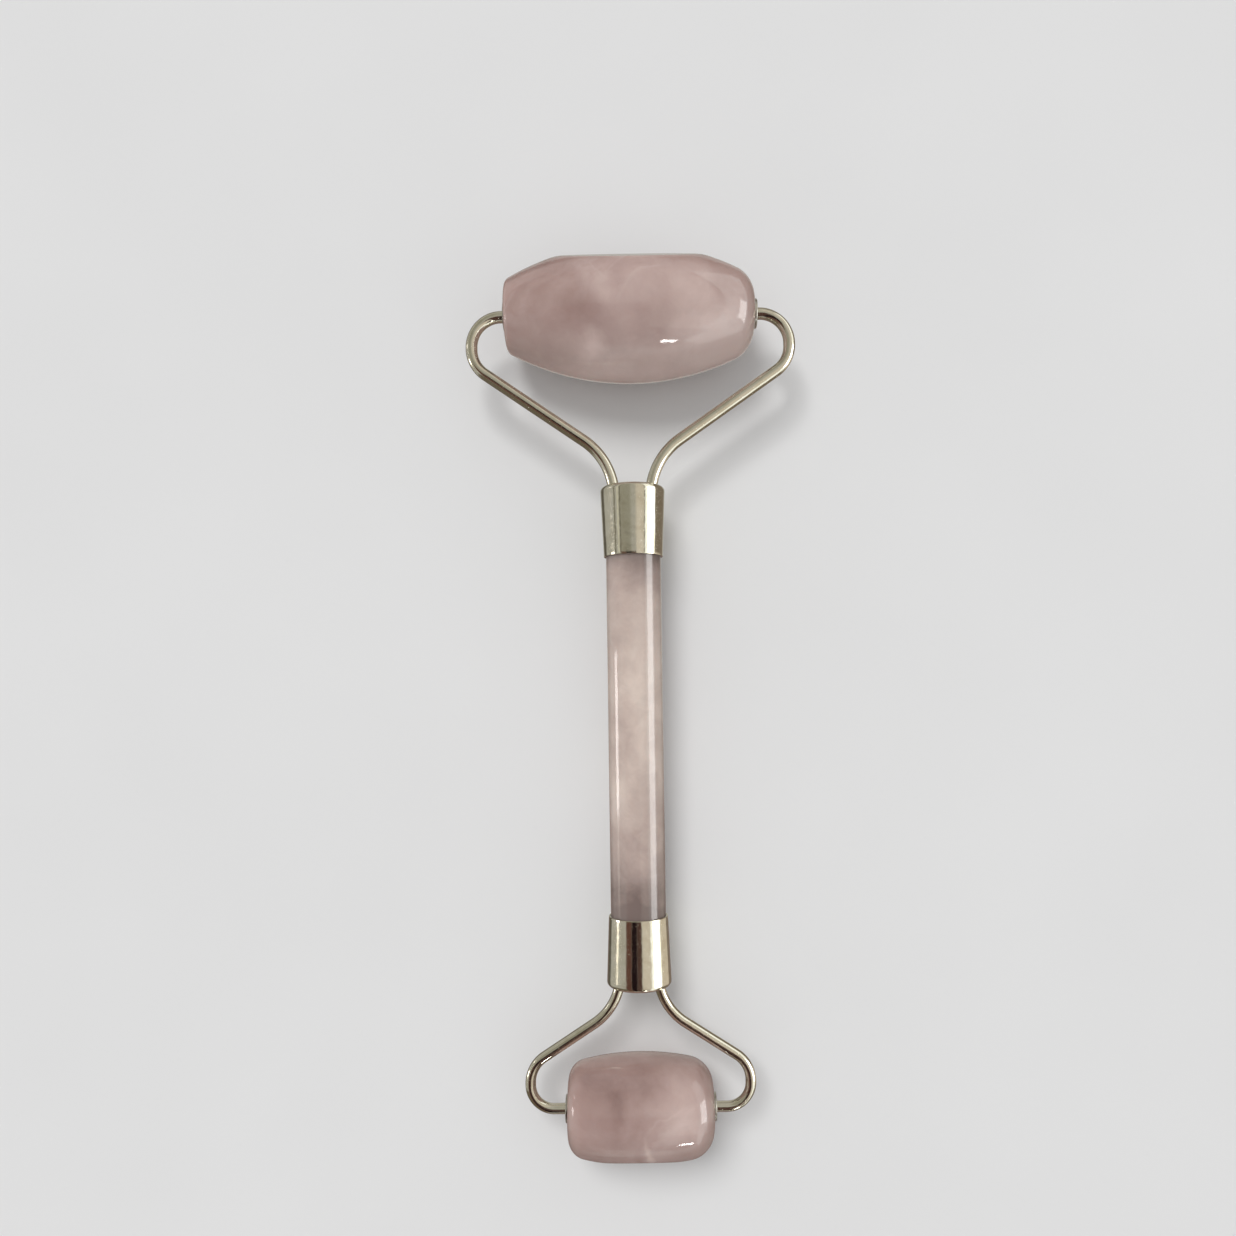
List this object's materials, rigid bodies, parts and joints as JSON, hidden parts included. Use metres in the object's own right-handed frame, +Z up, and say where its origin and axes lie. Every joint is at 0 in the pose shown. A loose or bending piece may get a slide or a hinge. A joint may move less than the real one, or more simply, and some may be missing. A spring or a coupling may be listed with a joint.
{
  "type": "face roller",
  "caption": "Double-ended facial massage roller with a round stone handle, metal ferrules and bent wire arms that carry a large and a small barrel-shaped stone on free-turning pins.",
  "frame": {"origin": "on the handle rod's axis, halfway along the bare stone between the two ferrules", "axes": "+Y along the handle to the large roller, +X to the right along the axles, +Z up and square to the plane of the wires and both axles"},
  "size_m": [0.0528, 0.1454, 0.0195],
  "materials": {
    "handle_stone": "polished",
    "roller_stone": "polished",
    "plated_ferrule": "polished",
    "plated_wire": "polished",
    "bush_metal": "satin",
    "adhesive": "cured"
  },
  "bodies": {
    "handle": {"handle_rod": "handle_stone", "large_end_ferrule": "plated_ferrule", "small_end_ferrule": "plated_ferrule", "large_end_adhesive": "adhesive", "small_end_adhesive": "adhesive", "large_end_left_arm": "plated_wire", "large_end_right_arm": "plated_wire", "small_end_left_arm": "plated_wire", "small_end_right_arm": "plated_wire"},
    "large_roller": {"large_roller_stone": "roller_stone", "large_roller_left_bush": "bush_metal", "large_roller_right_bush": "bush_metal"},
    "small_roller": {"small_roller_stone": "roller_stone", "small_roller_left_bush": "bush_metal", "small_roller_right_bush": "bush_metal"}
  },
  "joints": [
    {"name": "large_roller_spin", "type": "hinge", "parent": "handle", "child": "large_roller", "pos_m": [0, 0.0673, 0], "axis": [1, 0, 0], "continuous": true},
    {"name": "small_roller_spin", "type": "hinge", "parent": "handle", "child": "small_roller", "pos_m": [0, -0.0594, 0], "axis": [1, 0, 0], "continuous": true}
  ]
}
